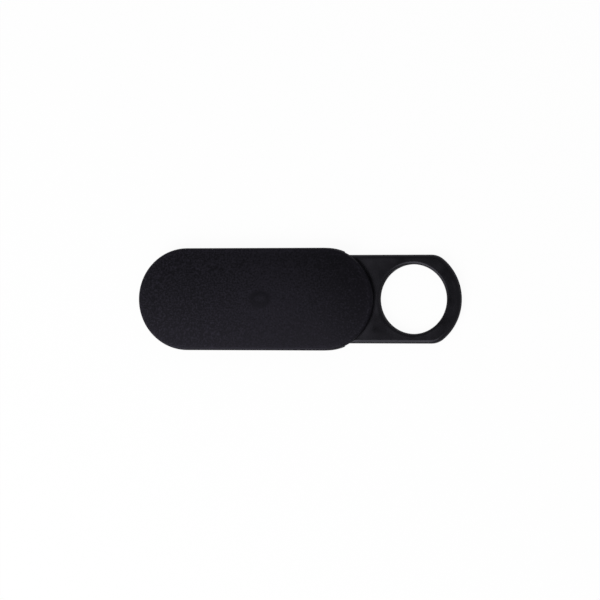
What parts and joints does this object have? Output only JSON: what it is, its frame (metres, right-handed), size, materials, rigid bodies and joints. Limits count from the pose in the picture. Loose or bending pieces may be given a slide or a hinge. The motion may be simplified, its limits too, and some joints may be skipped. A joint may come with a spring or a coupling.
{
  "type": "webcam cover slider",
  "caption": "Slim stick-on webcam cover: a rounded textured cover slides on hooked rails along a base plate with a round lens hole.",
  "frame": {"origin": "on the lens hole's axis, in the plane of the adhesive face, which is the screen frame's surface; the mouth of the lens hole is one pad thickness above it", "axes": "+X along the slide from the cover to the lens hole's end of the base, +Z out of the screen towards the viewer, +Y across the cover"},
  "size_m": [0.0549, 0.0168, 0.0029],
  "materials": {
    "grained_black": "fine eroded grain",
    "satin_black": "smooth satin",
    "foam_tape": "closed-cell acrylic foam with a tacky face"
  },
  "bodies": {
    "base": {"base_plate": "satin_black", "adhesive_pad": "foam_tape"},
    "cover": {"slide_cover": "grained_black"}
  },
  "joints": [
    {"name": "cover_slide", "type": "slide", "parent": "base", "child": "cover", "axis": [1, 0, 0], "range_m": [0, 0.0149]}
  ]
}
